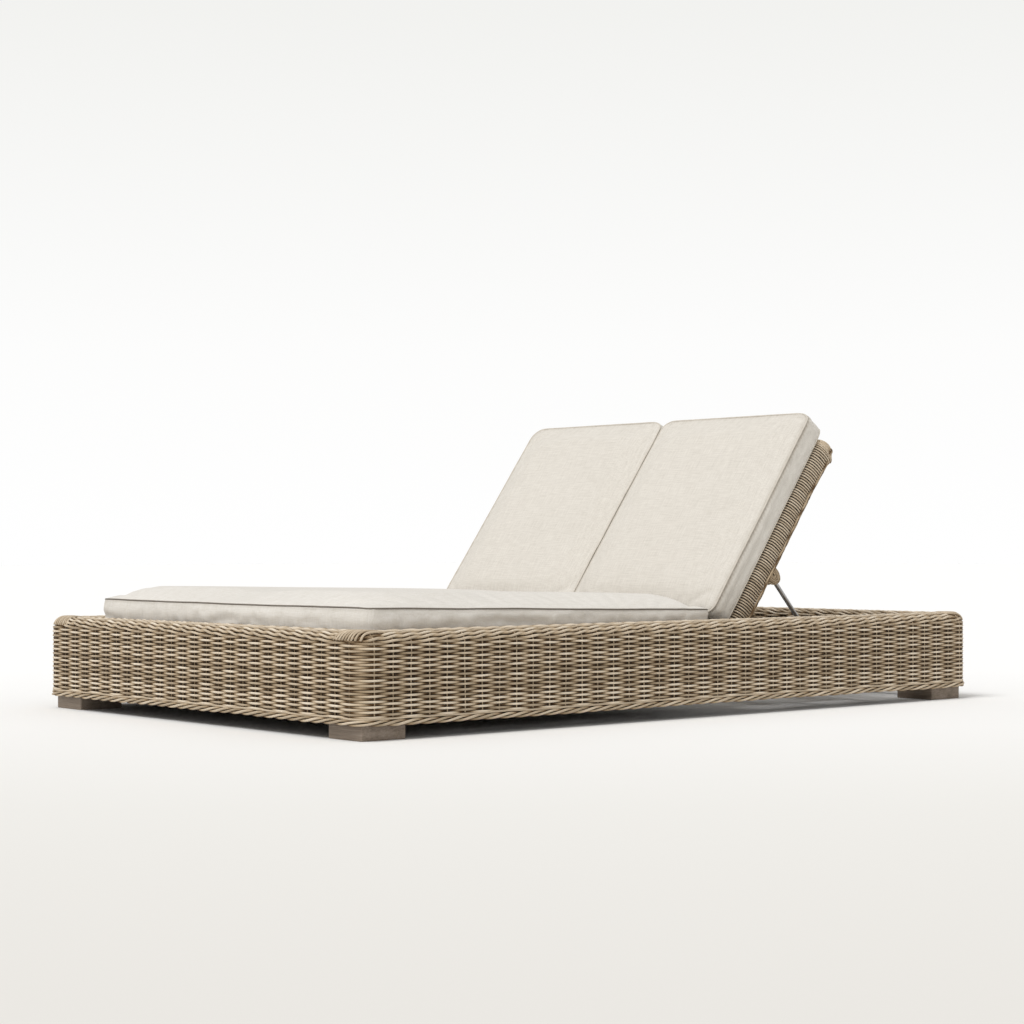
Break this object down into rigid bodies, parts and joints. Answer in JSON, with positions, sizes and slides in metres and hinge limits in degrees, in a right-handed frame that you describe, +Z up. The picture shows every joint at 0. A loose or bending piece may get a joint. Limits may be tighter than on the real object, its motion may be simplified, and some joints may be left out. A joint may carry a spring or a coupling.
{
  "type": "double chaise lounger",
  "caption": "Woven platform lounger on low wooden feet, with one wide seat cushion and two separately reclining backs held by prop bails on notched racks.",
  "frame": {"origin": "on the floor, under the middle of the base", "axes": "+X across the lounger to the right of someone who looks from the foot end to the head end, +Y along it to the head end, +Z up"},
  "size_m": [1.42, 2.2, 0.8004],
  "materials": {
    "wicker": "matt, round woven strands",
    "linen": "heathered linen weave",
    "teak": "weathered, unsealed",
    "frame_aluminium": "dark brown powder coat",
    "bracket_steel": "dark brown powder coat",
    "rod_steel": "satin",
    "fastener_steel": "satin",
    "bush_nylon": "matt",
    "pad_rubber": "matt"
  },
  "bodies": {
    "base": {"back_rest_member": "frame_aluminium", "bail_rack_left_inner": "bracket_steel", "bail_rack_left_outer": "bracket_steel", "bail_rack_right_inner": "bracket_steel", "bail_rack_right_outer": "bracket_steel", "base_border": "wicker", "base_weave": "wicker", "bottom_rail_front": "frame_aluminium", "bottom_rail_left": "frame_aluminium", "bottom_rail_rear": "frame_aluminium", "bottom_rail_right": "frame_aluminium", "deck_cross_members": "frame_aluminium", "deck_joists": "frame_aluminium", "deck_slats": "frame_aluminium", "foot_front_left": "teak", "foot_front_right": "teak", "foot_rear_left": "teak", "foot_rear_right": "teak", "foot_screws": "fastener_steel", "frame_posts": "frame_aluminium", "hinge_bolts": "fastener_steel", "hinge_brackets": "bracket_steel", "inner_rail_front": "frame_aluminium", "inner_rail_left": "frame_aluminium", "inner_rail_rear": "frame_aluminium", "inner_rail_right": "frame_aluminium", "rack_screws": "fastener_steel", "rest_pads": "pad_rubber", "seat_cushion": "linen", "top_rail_front": "frame_aluminium", "top_rail_left": "frame_aluminium", "top_rail_rear": "frame_aluminium", "top_rail_right": "frame_aluminium", "well_cross_members": "frame_aluminium"},
    "back_left": {"back_cushion_left": "linen", "back_frame_left": "frame_aluminium", "back_weave_left": "wicker", "bail_knuckles_left": "wicker", "bail_pins_left": "fastener_steel", "hinge_bushes_left": "bush_nylon", "hinge_lugs_left": "bracket_steel"},
    "back_right": {"back_cushion_right": "linen", "back_frame_right": "frame_aluminium", "back_weave_right": "wicker", "bail_knuckles_right": "wicker", "bail_pins_right": "fastener_steel", "hinge_bushes_right": "bush_nylon", "hinge_lugs_right": "bracket_steel"},
    "bail_left": {"prop_bail_left": "rod_steel"},
    "bail_right": {"prop_bail_right": "rod_steel"}
  },
  "joints": [
    {"name": "back_left_recline", "type": "hinge", "parent": "base", "child": "back_left", "pos_m": [0, 0.228, 0.216], "axis": [1, 0, 0], "range_deg": [-54, 12]},
    {"name": "bail_left_swing", "type": "hinge", "parent": "back_left", "child": "bail_left", "pos_m": [0, 0.41561, 0.35002], "axis": [1, 0, 0], "range_deg": [-22.6, 101.2]},
    {"name": "back_right_recline", "type": "hinge", "parent": "base", "child": "back_right", "pos_m": [0, 0.228, 0.216], "axis": [1, 0, 0], "range_deg": [-54, 12]},
    {"name": "bail_right_swing", "type": "hinge", "parent": "back_right", "child": "bail_right", "pos_m": [0, 0.41561, 0.35002], "axis": [1, 0, 0], "range_deg": [-22.6, 101.2]}
  ],
  "couplings": [
    {"joint": "bail_left_swing", "follows": "back_left_recline", "ratio": -1.87},
    {"joint": "bail_right_swing", "follows": "back_right_recline", "ratio": -1.87}
  ]
}
